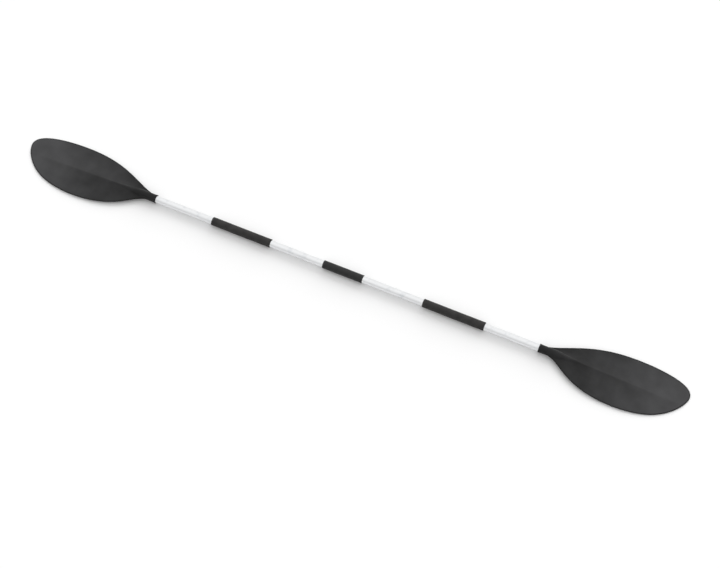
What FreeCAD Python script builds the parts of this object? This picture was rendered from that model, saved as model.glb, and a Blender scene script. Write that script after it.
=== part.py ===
import FreeCAD, Part
import os

import Sketcher
from FreeCAD import Vector

"""Two-piece kayak paddle, built as the real one is put together.

Row frame, in millimetres: the paddle lies along X with the snap-button half at +X, its blades
convex side up. +Y is the long edge of both blades and +Z is up. The origin is on the floor under
the middle of the paddle. Every turned piece is drawn about its own X axis and then lifted by
tip_drop, so the shaft's axis runs through (0, 0, tip_drop).
"""

# ---------------------------------------------------------------- driving dimensions

SIZES = {
    # overall
    "paddle_length": (2400, "tip to tip"),
    "blade_length": (504, "socket mouth to tip"),
    "blade_width": (192, "across the widest part of a blade"),
    # blade moulding
    "tip_offset": (35.5, "how far the tip stands towards the long edge"),
    "tip_drop": (17, "shaft axis down to the underside of the tip"),
    "blade_crown": (11.5, "how far the spine stands above the rim"),
    "rim_thickness": (3, "moulding at the rim"),
    "spine_thickness": (5.5, "moulding under the spine"),
    "socket_wall": (1.75, "wall of the round socket"),
    "socket_depth": (60, "how deep the shaft goes into a blade"),
    "socket_nose": (78, "taper that carries the socket into the spine"),
    "neck_straight": (8, "round neck between the lip and the flare"),
    "lip_rise": (0.9, "how far the lip at the mouth stands proud"),
    "lip_width": (3.5, "length of the lip"),
    # shaft
    "shaft_diameter": (24, "outside of both tubes"),
    "shaft_wall": (1.25, "wall of both tubes"),
    "fit_clearance": (0.05, "radial gap of the sliding and bonded fits"),
    # centre joint
    "sleeve_length": (144, "length of the joint sleeve"),
    "sleeve_wall": (1.85, "wall of the joint sleeve"),
    "left_end_gap": (22, "middle of the sleeve to the end of the left tube"),
    "stop_width": (2, "rib inside the sleeve between the tube ends"),
    "stop_rise": (1.2, "how far the rib stands in from the bore"),
    "ring_width": (4, "length of the wiper ring in the sleeve mouth"),
    "ring_thickness": (0.8, "radial thickness of the wiper ring"),
    "ring_setback": (4, "sleeve mouth to the ring's groove"),
    # grips
    "grip_length": (218, "length of each grip"),
    "grip_wall": (2.5, "thickness of the grip sleeve"),
    "left_grip_share": (0.477, "share of the left half's bare tube that is inboard of its grip"),
    "right_grip_share": (0.533, "share of the right half's bare tube that is inboard of its grip"),
    # snap button
    "button_place": (10, "middle of the sleeve to the button"),
    "button_radius": (3.2, "button's stem"),
    "button_flange": (4.6, "radius of the flange that keeps the button in"),
    "flange_thickness": (1.4, "thickness of that flange"),
    "flange_gap": (0.4, "flange to the wall of the tube above it"),
    "button_proud": (1.3, "how far the button stands out of the sleeve"),
    "button_gap": (0.1, "radial gap round the button in the tube"),
    "index_gap": (0.2, "radial gap round the button in the sleeve"),
    "feather_step": (60, "degrees between the sleeve's index holes"),
    "button_turn": (-90, "degrees about X from straight up to the snap button"),
    # leaf spring
    "spring_width": (7, "width of the leaf"),
    "spring_leaf": (0.8, "thickness of the leaf"),
    "spring_pad": (5, "half length of the flat under the button"),
    "spring_reach": (50, "button to the bend of the leaf"),
    "spring_bend": (2.2, "half height of the bend"),
    # rivets
    "rivet_radius": (1.6, "shank of a blind rivet"),
    "rivet_head": (3.2, "radius of the dome head"),
    "rivet_dome": (1.1, "height of the dome head"),
    "rivet_tail": (2.3, "radius of the set tail"),
    "rivet_tail_height": (1.5, "height of the set tail"),
    "mandrel_radius": (0.9, "stem of the mandrel left in a rivet"),
    "mandrel_head": (1.5, "radius of the mandrel's head"),
    "mandrel_recess": (0.3, "how far the broken stem sits back in the dome"),
    "blade_rivet_inset": (12, "socket mouth to the first blade rivet"),
    "blade_rivet_pitch": (18, "first to second blade rivet"),
    "sleeve_rivet_inset": (12, "sleeve end to the first sleeve rivet"),
    "sleeve_rivet_pitch": (22, "first to second sleeve rivet"),
    # foam plugs
    "plug_length": (22, "length of a foam plug"),
    "plug_inset": (3, "outer plug to the end of its tube"),
    "inner_plug_gap": (12, "bend of the leaf spring to the right inner plug"),
    "left_plug_gap": (10, "sleeve's outer rivet to the left inner plug"),
}

# Blade outline, as control points of a cubic curve: how far along the flare, and how far out in
# half widths. The long edge bulges late, the short edge early, and both end at the tip.
LONG_EDGE = [(0.04, 0.10), (0.22, 0.615), (0.48, 1.055), (0.90, 0.965), (1.00, 0.62)]
SHORT_EDGE = [(0.08, 0.11), (0.17, 0.53), (0.405, 1.08), (0.87, 0.955), (1.00, -0.10)]

# Blade sections: how far along the flare, half span in half widths, height of the rim as a share
# of the drop at the tip, and height of the spine above it as a share of the crown.
STATIONS = [
    (-0.01, 0.22, 0.15, 0.56),
    (0.08, 0.34, 0.00, 0.89),
    (0.17, 0.56, -0.15, 0.98),
    (0.27, 0.84, -0.34, 1.00),
    (0.40, 1.01, -0.54, 0.93),
    (0.54, 1.07, -0.68, 0.75),
    (0.70, 1.07, -0.80, 0.49),
    (0.86, 1.06, -0.91, 0.23),
    (1.01, 1.00, -1.00, 0.07),
]

# One flank of a section, from rim to spine: where across the half span, how high on the crown,
# and how far the thickness has grown from the rim's to the spine's.
FLANK = [(1.00, 0.00, 0.00), (0.62, 0.06, 0.10), (0.30, 0.27, 0.35), (0.12, 0.65, 0.80)]
CREST = (0.00, 1.06, 1.00)

PARTS_FOLDER = "parts"
SKETCH_LENGTH = 60          # cut length that clears the wall of any tube here
MIDDLE = 3                  # a sketch circle's centre, as a constraint names it
START, END = 1, 2           # a sketch edge's two ends

doc = FreeCAD.newDocument("kayak_paddle")
sheet = doc.addObject("Spreadsheet::Sheet", "sizes")
for row, (alias, (number, meaning)) in enumerate(SIZES.items(), start=1):
    sheet.set(f"A{row}", meaning)
    sheet.set(f"B{row}", str(number))
    sheet.setAlias(f"B{row}", alias)
doc.recompute()


def size(name):
    """A driving dimension, as it is written in an expression."""
    return f"sizes.{name}"


# ---------------------------------------------------------------- places worked out from them

SHAFT_RADIUS = f"({size('shaft_diameter')} / 2)"
BORE_RADIUS = f"({SHAFT_RADIUS} - {size('shaft_wall')})"
FIT_RADIUS = f"({SHAFT_RADIUS} + {size('fit_clearance')})"
SOCKET_RADIUS = f"({FIT_RADIUS} + {size('socket_wall')})"
SLEEVE_RADIUS = f"({FIT_RADIUS} + {size('sleeve_wall')})"
GRIP_RADIUS = f"({SHAFT_RADIUS} + {size('grip_wall')})"

TIP = f"({size('paddle_length')} / 2)"
MOUTH = f"({TIP} - {size('blade_length')})"
FLARE_START = f"({MOUTH} + {size('neck_straight')})"
FLARE = f"({size('blade_length')} - {size('neck_straight')})"
HALF_WIDTH = f"({size('blade_width')} / 2)"
DROP = f"({size('tip_drop')} - {size('rim_thickness')})"
TUBE_END = f"({MOUTH} + {size('socket_depth')})"

SLEEVE_END = f"({size('sleeve_length')} / 2)"
LEFT_TUBE_START = f"(-{size('left_end_gap')})"
RIGHT_TUBE_START = f"({LEFT_TUBE_START} + {size('stop_width')} + 4 * {size('fit_clearance')})"
RING_END = f"({SLEEVE_END} - {size('ring_setback')})"
RING_START = f"({RING_END} - {size('ring_width')})"
RING_RADIUS = f"({FIT_RADIUS} + {size('ring_thickness')})"

FLANGE_TOP = f"(sqrt({BORE_RADIUS}^2 - {size('button_flange')}^2) - {size('flange_gap')})"
FLANGE_FOOT = f"({FLANGE_TOP} - {size('flange_thickness')})"
BUTTON_TOP = f"({SLEEVE_RADIUS} + {size('button_proud')})"
SPRING_FLOOR = f"(-sqrt({BORE_RADIUS}^2 - ({size('spring_width')} / 2)^2) + {size('fit_clearance')})"
SPRING_NOSE = f"({size('button_place')} + {size('spring_reach')})"

RIVET_TAIL_FOOT = f"(-sqrt({BORE_RADIUS}^2 - {size('rivet_tail')}^2))"
RIVET_TAIL_TOP = f"({RIVET_TAIL_FOOT} + {size('rivet_tail_height')})"
BLADE_RIVETS = [
    f"({MOUTH} + {size('blade_rivet_inset')} + {step} * {size('blade_rivet_pitch')})"
    for step in (0, 1)
]
SLEEVE_RIVETS = [
    f"(-{SLEEVE_END} + {size('sleeve_rivet_inset')} + {step} * {size('sleeve_rivet_pitch')})"
    for step in (0, 1)
]


# ---------------------------------------------------------------- drawing helpers

def new_body(label, x="0", turn="0"):
    """A body whose own X axis is the shaft's axis, moved along it by x and turned about it."""
    body = doc.addObject("PartDesign::Body", label)
    body.Label = label
    body.setExpression("Placement.Base.x", x)
    body.setExpression("Placement.Base.z", size("tip_drop"))
    turn_about_x(body, "Placement", turn)
    return body


def turn_about_x(item, placement, turn):
    """Bind the rotation of one of the item's placements to an angle about X."""
    item.setExpression(f"{placement}.Rotation.Axis.x", "1")
    item.setExpression(f"{placement}.Rotation.Axis.z", "0")
    item.setExpression(f"{placement}.Rotation.Angle", turn)


def origin_feature(body, role):
    """One of the body's own origin planes or axes."""
    return next(item for item in body.Origin.OriginFeatures if item.Role == role)


def new_sketch(body, name, plane, offset="0", turn="0"):
    """A sketch on one of the body's origin planes, moved along its normal or turned about X."""
    sketch = body.newObject("Sketcher::SketchObject", name)
    sketch.AttachmentSupport = [(origin_feature(body, plane), "")]
    sketch.MapMode = "FlatFace"
    sketch.setExpression("AttachmentOffset.Base.z", offset)
    turn_about_x(sketch, "AttachmentOffset", turn)
    return sketch


def value(sketch, expression):
    """What an expression comes to now."""
    return float(sketch.evalExpression(expression))


def pin(sketch, geometry, point, place):
    """Hold a point of the sketch at a place given by two expressions."""
    for kind, expression in zip(("DistanceX", "DistanceY"), place):
        number = value(sketch, expression)
        index = sketch.addConstraint(Sketcher.Constraint(kind, -1, 1, geometry, point, number))
        sketch.setExpression(f"Constraints[{index}]", expression)


def join(sketch, first, second):
    """Make the second edge start where the first one ends."""
    sketch.addConstraint(Sketcher.Constraint("Coincident", first, END, second, START))


def vector(sketch, place):
    """A point of the sketch from two expressions."""
    return Vector(value(sketch, place[0]), value(sketch, place[1]), 0)


def add_polygon(sketch, corners):
    """A closed outline of straight edges, each corner pinned."""
    ends = corners[1:] + corners[:1]
    lines = [
        sketch.addGeometry(Part.LineSegment(vector(sketch, a), vector(sketch, b)), False)
        for a, b in zip(corners, ends)
    ]
    for line, following in zip(lines, lines[1:] + lines[:1]):
        join(sketch, line, following)
    for line, corner in zip(lines, corners):
        pin(sketch, line, START, corner)


def add_curve(sketch, poles, follows=None):
    """A cubic curve with pinned control points, on its own or going on from the end of another."""
    points = [vector(sketch, pole) for pole in poles]
    curve = Part.BSplineCurve(points, None, None, False, 3, None, False)
    number = sketch.addGeometry(curve, False)
    first_pole = len(sketch.Geometry)
    sketch.exposeInternalGeometry(number)
    for index, pole in enumerate(poles):
        if index == 0 and follows is not None:
            join(sketch, follows, number)
        else:
            pin(sketch, first_pole + index, MIDDLE, pole)
    return number


def add_line_between(sketch, before, after):
    """A straight edge from the end of one curve to the start of the next."""
    start = sketch.getPoint(before, END)
    stop = sketch.getPoint(after, START)
    line = sketch.addGeometry(Part.LineSegment(start, stop), False)
    join(sketch, before, line)
    join(sketch, line, after)


def add_hole(sketch, place, radius):
    """A circle with its centre and radius bound."""
    centre = vector(sketch, place)
    circle = sketch.addGeometry(Part.Circle(centre, Vector(0, 0, 1), value(sketch, radius)), False)
    pin(sketch, circle, MIDDLE, place)
    index = sketch.addConstraint(Sketcher.Constraint("Radius", circle, value(sketch, radius)))
    sketch.setExpression(f"Constraints[{index}]", radius)


def turned(body, name, corners, axis="X_Axis", kind="PartDesign::Revolution"):
    """Turn an outline in the XZ plane about one of the body's axes."""
    sketch = new_sketch(body, f"{name}_outline", "XZ_Plane")
    add_polygon(sketch, corners)
    doc.recompute()
    feature = body.newObject(kind, name)
    feature.Profile = sketch
    feature.ReferenceAxis = (origin_feature(body, axis), [""])
    feature.Angle = 360
    doc.recompute()
    return feature


def pocket(body, sketch, name, length, upward=False, both_ways=False):
    """Cut a sketch into the body, and make sure that it took something away."""
    before = body.Shape.Volume
    feature = body.newObject("PartDesign::Pocket", name)
    feature.Profile = sketch
    feature.Length = length
    feature.Reversed = upward
    feature.Midplane = both_ways
    doc.recompute()
    assert body.Shape.Volume < before, f"{body.Label}: {name} cut nothing"
    return feature


def drill(body, name, places, radius, upward=False, turn="0"):
    """Round holes through one wall of a tube, square to its axis."""
    sketch = new_sketch(body, f"{name}_outline", "XY_Plane", turn=turn)
    for place in places:
        add_hole(sketch, (place, "0"), radius)
    doc.recompute()
    return pocket(body, sketch, name, SKETCH_LENGTH, upward=upward)


def ring_outline(start, end, inner, outer):
    """The outline of a plain tube."""
    return [(start, inner), (end, inner), (end, outer), (start, outer)]


# ---------------------------------------------------------------- blades

def blade_section(body, side, station):
    """The crescent section of the blade at one station."""
    along, span, rim, crown = station
    place = f"{side} * ({FLARE_START} + {along} * {FLARE})"
    sketch = new_sketch(body, "section", "YZ_Plane", offset=place)
    half_span = f"{span} * {HALF_WIDTH}"
    rim_top = f"{rim} * {DROP}"
    crown_height = f"{crown} * {size('blade_crown')}"
    thickening = f"{crown} * ({size('spine_thickness')} - {size('rim_thickness')})"

    right = [(across, height, growth) for across, height, growth in FLANK]
    left = [(-across, height, growth) for across, height, growth in FLANK]
    points = left + [CREST] + right[::-1]
    top = [
        (f"{across} * {half_span}", f"{rim_top} + {height} * {crown_height}")
        for across, height, _ in points
    ]
    underside = [
        (where, f"{level} - {size('rim_thickness')} - {growth} * {thickening}")
        for (where, level), (_, _, growth) in zip(top, points)
    ]
    upper = add_curve(sketch, top)
    lower = add_curve(sketch, underside[::-1])
    add_line_between(sketch, upper, lower)
    add_line_between(sketch, lower, upper)
    return sketch


def edge_poles(side, sign, shape):
    """Control points of one edge of the blade, from the neck to the tip."""
    neck = (f"{side} * {FLARE_START}", f"{sign} * {SOCKET_RADIUS}")
    between = [
        (f"{side} * ({FLARE_START} + {along} * {FLARE})", f"{sign} * {out} * {HALF_WIDTH}")
        for along, out in shape
    ]
    tip = (f"{side} * {TIP}", size("tip_offset"))
    return [neck] + between + [tip]


def make_blade(label, side):
    """A blade with its socket: a lofted leaf, trimmed to its outline, on a turned neck."""
    body = new_body(label)
    sections = [blade_section(body, side, station) for station in STATIONS]
    doc.recompute()
    leaf = body.newObject("PartDesign::AdditiveLoft", "leaf")
    leaf.Profile = sections[0]
    leaf.Sections = sections[1:]
    leaf.Ruled = False
    doc.recompute()

    trim = new_sketch(body, "planform", "XY_Plane")
    margin = size("blade_width")
    inner = f"{side} * ({MOUTH} - {margin})"
    outer = f"{side} * ({TIP} + {margin})"
    add_polygon(trim, [(inner, f"-{margin}"), (outer, f"-{margin}"), (outer, margin), (inner, margin)])
    long_edge = add_curve(trim, edge_poles(side, 1, LONG_EDGE))
    short_edge = add_curve(trim, edge_poles(side, -1, SHORT_EDGE)[::-1], follows=long_edge)
    add_line_between(trim, short_edge, long_edge)
    doc.recompute()
    pocket(body, trim, "trim_to_outline", 4 * SIZES["tip_drop"][0], both_ways=True)

    mouth = f"{side} * {MOUTH}"
    lip_end = f"{side} * ({MOUTH} + {size('lip_width')})"
    neck_start = f"{side} * ({MOUTH} + {size('lip_width')} + {size('lip_rise')})"
    lip_radius = f"({SOCKET_RADIUS} + {size('lip_rise')})"
    nose_start = f"{side} * ({TUBE_END} + {size('socket_wall')})"
    nose_end = f"{side} * ({TUBE_END} + {size('socket_nose')})"
    nose_tip = f"{size('spine_thickness')} / 2"
    turned(body, "socket", [
        (mouth, "0"), (nose_end, "0"), (nose_end, nose_tip), (nose_start, SOCKET_RADIUS),
        (neck_start, SOCKET_RADIUS), (lip_end, lip_radius), (mouth, lip_radius),
    ])

    before = body.Shape.Volume
    bore_start = f"{side} * ({MOUTH} - {size('lip_width')})"
    bore_end = f"{side} * ({TUBE_END} + {size('fit_clearance')})"
    turned(body, "bore", ring_outline(bore_start, bore_end, "0", FIT_RADIUS), kind="PartDesign::Groove")
    assert body.Shape.Volume < before, f"{label}: the bore cut nothing"
    drill(body, "rivet_holes", [f"{side} * {place}" for place in BLADE_RIVETS], size("rivet_radius"))
    return body


# ---------------------------------------------------------------- shaft

def make_tube(label, start, end):
    """One aluminium tube, from near the middle out into a blade's socket."""
    body = new_body(label)
    turned(body, "tube", ring_outline(start, end, BORE_RADIUS, SHAFT_RADIUS))
    return body


def make_left_tube():
    """The tube that the joint sleeve is riveted to."""
    body = make_tube("left_tube", LEFT_TUBE_START, f"-{TUBE_END}")
    holes = SLEEVE_RIVETS + [f"-{place}" for place in BLADE_RIVETS]
    drill(body, "rivet_holes", holes, size("rivet_radius"))
    return body


def make_right_tube():
    """The tube that slides into the sleeve and carries the snap button."""
    body = make_tube("right_tube", RIGHT_TUBE_START, TUBE_END)
    drill(body, "rivet_holes", BLADE_RIVETS, size("rivet_radius"))
    hole_radius = f"{size('button_radius')} + {size('button_gap')}"
    turn = size("button_turn")
    drill(body, "button_hole", [size("button_place")], hole_radius, upward=True, turn=turn)
    return body


def make_grip(label, side, inboard_share):
    """A soft grip sleeve with bevelled ends, set on the bare tube between sleeve and blade."""
    body = new_body(label)
    bare_tube = f"({MOUTH} - {SLEEVE_END} - {size('grip_length')})"
    inner = f"({SLEEVE_END} + {size(inboard_share)} * {bare_tube})"
    outer = f"({inner} + {size('grip_length')})"
    bevel = f"{size('grip_wall')} / 3"
    turned(body, "grip", [
        (f"{side} * {inner}", SHAFT_RADIUS),
        (f"{side} * {outer}", SHAFT_RADIUS),
        (f"{side} * {outer}", f"{GRIP_RADIUS} - {bevel}"),
        (f"{side} * ({outer} - {bevel})", GRIP_RADIUS),
        (f"{side} * ({inner} + {bevel})", GRIP_RADIUS),
        (f"{side} * {inner}", f"{GRIP_RADIUS} - {bevel}"),
    ])
    return body


def make_plug(label, start, end):
    """A foam plug that keeps water out of a tube."""
    body = new_body(label)
    turned(body, "plug", ring_outline(start, end, "0", BORE_RADIUS))
    return body


# ---------------------------------------------------------------- centre joint

def make_sleeve():
    """The joint sleeve: a bore with a stop rib, a ring groove and two index holes."""
    body = new_body("joint_sleeve")
    stop_end = f"({LEFT_TUBE_START} + {size('stop_width')} + 2 * {size('fit_clearance')})"
    stop_start = f"({LEFT_TUBE_START} + 2 * {size('fit_clearance')})"
    stop_radius = f"({FIT_RADIUS} - {size('stop_rise')})"
    groove_start = f"({RING_START} - 2 * {size('fit_clearance')})"
    groove_end = f"({RING_END} + 2 * {size('fit_clearance')})"
    groove_radius = f"({RING_RADIUS} + 2 * {size('fit_clearance')})"
    bevel = f"{size('sleeve_wall')} / 4"
    turned(body, "sleeve", [
        (f"-{SLEEVE_END}", FIT_RADIUS),
        (stop_start, FIT_RADIUS), (stop_start, stop_radius),
        (stop_end, stop_radius), (stop_end, FIT_RADIUS),
        (groove_start, FIT_RADIUS), (groove_start, groove_radius),
        (groove_end, groove_radius), (groove_end, FIT_RADIUS),
        (SLEEVE_END, FIT_RADIUS),
        (SLEEVE_END, f"{SLEEVE_RADIUS} - {bevel}"), (f"{SLEEVE_END} - {bevel}", SLEEVE_RADIUS),
        (f"-{SLEEVE_END} + {bevel}", SLEEVE_RADIUS), (f"-{SLEEVE_END}", f"{SLEEVE_RADIUS} - {bevel}"),
    ])
    drill(body, "rivet_holes", SLEEVE_RIVETS, size("rivet_radius"))

    radius = f"{size('button_radius')} + {size('index_gap')}"
    first_turn = f"{size('button_turn')} - {size('feather_step')}"
    hole = drill(body, "index_hole", [size("button_place")], radius, upward=True, turn=first_turn)
    before = body.Shape.Volume
    pattern = body.newObject("PartDesign::PolarPattern", "index_holes")
    pattern.Originals = [hole]
    pattern.Axis = (origin_feature(body, "X_Axis"), [""])
    pattern.setExpression("Angle", size("feather_step"))
    pattern.Occurrences = 2
    body.Tip = pattern
    doc.recompute()
    assert body.Shape.Volume < before, "joint_sleeve: the index hole was not repeated"
    return body


def make_ring():
    """The wiper ring that stays in the sleeve's mouth and turns with the right tube."""
    body = new_body("mouth_ring")
    turned(body, "ring", ring_outline(RING_START, RING_END, FIT_RADIUS, RING_RADIUS))
    return body


def make_button():
    """The snap button: a stem with a worn-round top, kept in by a flange."""
    body = new_body("snap_button", x=size("button_place"), turn=size("button_turn"))
    stem = size("button_radius")
    flange = size("button_flange")
    turned(body, "button", [
        ("0", FLANGE_FOOT), (flange, FLANGE_FOOT), (flange, FLANGE_TOP), (stem, FLANGE_TOP),
        (stem, f"{BUTTON_TOP} - 0.3 * {stem}"), (f"0.85 * {stem}", f"{BUTTON_TOP} - 0.1 * {stem}"),
        (f"0.55 * {stem}", BUTTON_TOP), ("0", BUTTON_TOP),
    ], axis="Z_Axis")
    return body


def make_spring():
    """The V of spring steel that pushes the button out."""
    body = new_body("snap_spring", turn=size("button_turn"))
    leaf = size("spring_leaf")
    bend = size("spring_bend")
    end = f"({size('button_place')} - {size('spring_pad')})"
    pad = f"({size('button_place')} + {size('spring_pad')})"
    shoulder = f"({SPRING_NOSE} - {bend})"
    sketch = new_sketch(body, "leaf_outline", "XZ_Plane")
    add_polygon(sketch, [
        (end, FLANGE_FOOT), (pad, FLANGE_FOOT), (shoulder, bend), (SPRING_NOSE, "0"),
        (shoulder, f"-{bend}"), (pad, SPRING_FLOOR), (end, SPRING_FLOOR),
        (end, f"{SPRING_FLOOR} + {leaf}"), (pad, f"{SPRING_FLOOR} + {leaf}"),
        (shoulder, f"-{bend} + {leaf}"), (f"{SPRING_NOSE} - {leaf}", "0"),
        (shoulder, f"{bend} - {leaf}"), (pad, f"{FLANGE_FOOT} - {leaf}"),
        (end, f"{FLANGE_FOOT} - {leaf}"),
    ])
    doc.recompute()
    pad_feature = body.newObject("PartDesign::Pad", "leaf")
    pad_feature.Profile = sketch
    pad_feature.setExpression("Length", size("spring_width"))
    pad_feature.Midplane = True
    doc.recompute()
    return body


# ---------------------------------------------------------------- rivets

def make_rivet(label, place, outer_radius):
    """A blind rivet set from below through an outer wall and the tube's wall."""
    body = new_body(label, x=place)
    stem = size("mandrel_radius")
    shank = size("rivet_radius")
    head = size("rivet_head")
    tail = size("rivet_tail")
    head_foot = f"-{outer_radius}"
    turned(body, "rivet", [
        (stem, f"{head_foot} - {size('rivet_dome')}"),
        (f"0.6 * {head}", f"{head_foot} - 0.75 * {size('rivet_dome')}"),
        (head, head_foot), (shank, head_foot), (shank, RIVET_TAIL_FOOT), (tail, RIVET_TAIL_FOOT),
        (tail, f"{RIVET_TAIL_FOOT} + {size('rivet_tail_height')} / 2"),
        (f"0.6 * {tail} + 0.4 * {stem}", RIVET_TAIL_TOP), (stem, RIVET_TAIL_TOP),
    ], axis="Z_Axis")
    return body


def make_mandrel(label, place, outer_radius):
    """The steel stub that stays in a blind rivet once its stem has snapped off."""
    body = new_body(label, x=place)
    stem = size("mandrel_radius")
    head = size("mandrel_head")
    snapped_end = f"-{outer_radius} - {size('rivet_dome')} + {size('mandrel_recess')}"
    turned(body, "mandrel", [
        ("0", snapped_end), (stem, snapped_end), (stem, RIVET_TAIL_TOP), (head, RIVET_TAIL_TOP),
        (head, f"{RIVET_TAIL_TOP} + 0.4 * {head}"), (f"0.6 * {head}", f"{RIVET_TAIL_TOP} + 0.8 * {head}"),
        ("0", f"{RIVET_TAIL_TOP} + 0.9 * {head}"),
    ], axis="Z_Axis")
    return body


def make_set(label, make_one, places, outer_radius):
    """The like pieces of one joint, as separate solids under one name."""
    group = doc.addObject("Part::Compound", label)
    group.Label = label
    group.Links = [
        make_one(f"{label}_{number}", place, outer_radius)
        for number, place in enumerate(places, start=1)
    ]
    doc.recompute()
    return group


# ---------------------------------------------------------------- assembly

left_plug_end = f"({SLEEVE_RIVETS[0]} - {size('left_plug_gap')})"
right_plug_start = f"({SPRING_NOSE} + {size('inner_plug_gap')})"
outer_plug_end = f"({TUBE_END} - {size('plug_inset')})"
left_blade_rivets = [f"(-{place})" for place in BLADE_RIVETS]

nodes = [
    make_blade("left_blade", -1),
    make_blade("right_blade", 1),
    make_left_tube(),
    make_right_tube(),
    make_sleeve(),
    make_ring(),
    make_grip("left_grip", -1, "left_grip_share"),
    make_grip("right_grip", 1, "right_grip_share"),
    make_button(),
    make_spring(),
    make_set("sleeve_rivets", make_rivet, SLEEVE_RIVETS, SLEEVE_RADIUS),
    make_set("left_blade_rivets", make_rivet, left_blade_rivets, SOCKET_RADIUS),
    make_set("right_blade_rivets", make_rivet, BLADE_RIVETS, SOCKET_RADIUS),
    make_set("sleeve_rivet_mandrels", make_mandrel, SLEEVE_RIVETS, SLEEVE_RADIUS),
    make_set("left_blade_rivet_mandrels", make_mandrel, left_blade_rivets, SOCKET_RADIUS),
    make_set("right_blade_rivet_mandrels", make_mandrel, BLADE_RIVETS, SOCKET_RADIUS),
    make_plug("left_inner_plug", f"{left_plug_end} - {size('plug_length')}", left_plug_end),
    make_plug("right_inner_plug", right_plug_start, f"{right_plug_start} + {size('plug_length')}"),
    make_plug("left_outer_plug", f"-{outer_plug_end}", f"-{outer_plug_end} + {size('plug_length')}"),
    make_plug("right_outer_plug", f"{outer_plug_end} - {size('plug_length')}", outer_plug_end),
]

doc.recompute()
for item in doc.Objects:
    assert not {"Invalid", "Error"} & set(item.State), f"{item.Label} failed: {item.State}"
for node in nodes:
    shape = node.Shape
    assert not shape.isNull() and shape.isValid(), f"{node.Label} has no valid shape"

os.makedirs(PARTS_FOLDER, exist_ok=True)
for node in nodes:
    node.Shape.exportStep(os.path.join(PARTS_FOLDER, f"{node.Label}.step"))
    box = node.Shape.BoundBox
    print(
        f"{node.Label}: {len(node.Shape.Solids)} solid(s), {node.Shape.Volume / 1000:.2f} cm3, "
        f"x {box.XMin:.1f}..{box.XMax:.1f}, y {box.YMin:.1f}..{box.YMax:.1f}, "
        f"z {box.ZMin:.1f}..{box.ZMax:.1f}"
    )
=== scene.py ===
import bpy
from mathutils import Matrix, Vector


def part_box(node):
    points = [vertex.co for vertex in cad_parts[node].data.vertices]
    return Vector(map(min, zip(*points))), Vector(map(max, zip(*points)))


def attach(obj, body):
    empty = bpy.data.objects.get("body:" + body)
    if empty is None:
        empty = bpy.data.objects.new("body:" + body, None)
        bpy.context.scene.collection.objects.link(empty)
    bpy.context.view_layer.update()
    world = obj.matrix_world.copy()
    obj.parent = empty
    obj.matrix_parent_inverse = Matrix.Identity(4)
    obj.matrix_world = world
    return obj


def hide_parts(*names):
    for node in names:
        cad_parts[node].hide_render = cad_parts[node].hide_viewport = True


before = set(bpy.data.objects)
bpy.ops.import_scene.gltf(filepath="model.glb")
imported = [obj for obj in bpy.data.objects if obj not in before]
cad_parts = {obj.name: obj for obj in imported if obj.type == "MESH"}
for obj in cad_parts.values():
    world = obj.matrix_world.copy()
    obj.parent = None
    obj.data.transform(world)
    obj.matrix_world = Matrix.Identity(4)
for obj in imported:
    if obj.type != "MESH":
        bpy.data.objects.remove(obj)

"""The looks of a take-apart kayak paddle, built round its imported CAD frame.

The paddle lies along X with its convex backs up, the snap-button half towards +X and the long edge
of both blades towards +Y. Lengths are in metres, and real sizes in millimetres are written as a
number times MM. Blades and grips are built here in full; tubes, sleeve, rivets, button, spring,
ring and plugs keep their CAD shape and get a finish.
"""

import logging
import math
from dataclasses import dataclass
from enum import Enum

import bmesh
import bpy
import numpy as np
from mathutils import Vector

log = logging.getLogger("kayak_paddle")

MM = 0.001
WELD = 0.001 * MM             # points closer than this are one


class Side(Enum):
    """Which half of the paddle a piece belongs to; the value is its direction along X."""

    LEFT = -1
    RIGHT = 1


# ---------------------------------------------------------------- number helpers


def smooth_step(x: np.ndarray, start: float, end: float) -> np.ndarray:
    """A soft rise from 0 at start to 1 at end.

    Args:
        x: Where to read it.
        start: Where the rise begins.
        end: Where it is complete.

    Returns:
        The height of the step at each x.
    """
    t = np.clip((np.asarray(x, float) - start) / (end - start), 0.0, 1.0)
    return t * t * (3.0 - 2.0 * t)


def soft_max(a: np.ndarray, b: np.ndarray, fillet: np.ndarray) -> np.ndarray:
    """The larger of two heights, with a fillet where they meet.

    Args:
        a: One set of heights.
        b: The other set.
        fillet: How far the fillet stands above the sharp corner, twice over.

    Returns:
        The blended heights.
    """
    return 0.5 * (a + b + np.sqrt((a - b) ** 2 + fillet**2))


def clamped_curve(poles: np.ndarray, samples: int) -> np.ndarray:
    """Sample a cubic curve that starts and ends on its first and last control points.

    Args:
        poles: Control points, one row each.
        samples: How many points to return.

    Returns:
        Points along the curve, one row each.
    """
    degree = 3
    spans = len(poles) - degree
    knots = np.concatenate([np.zeros(degree), np.linspace(0, 1, spans + 1), np.ones(degree)])
    t = np.linspace(0, 1, samples)
    basis = [
        np.where((t >= low) & ((t < high) | ((high == 1.0) & (t <= 1.0))) & (low < high), 1.0, 0.0)
        for low, high in zip(knots[:-1], knots[1:])
    ]
    for order in range(1, degree + 1):
        raised = []
        for i in range(len(basis) - 1):
            rise = knots[i + order] - knots[i]
            fall = knots[i + order + 1] - knots[i + 1]
            left = (t - knots[i]) / rise * basis[i] if rise > 0 else 0.0
            right = (knots[i + order + 1] - t) / fall * basis[i + 1] if fall > 0 else 0.0
            raised.append(left + right)
        basis = raised
    return np.stack(basis, axis=1) @ np.asarray(poles, float)


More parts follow.
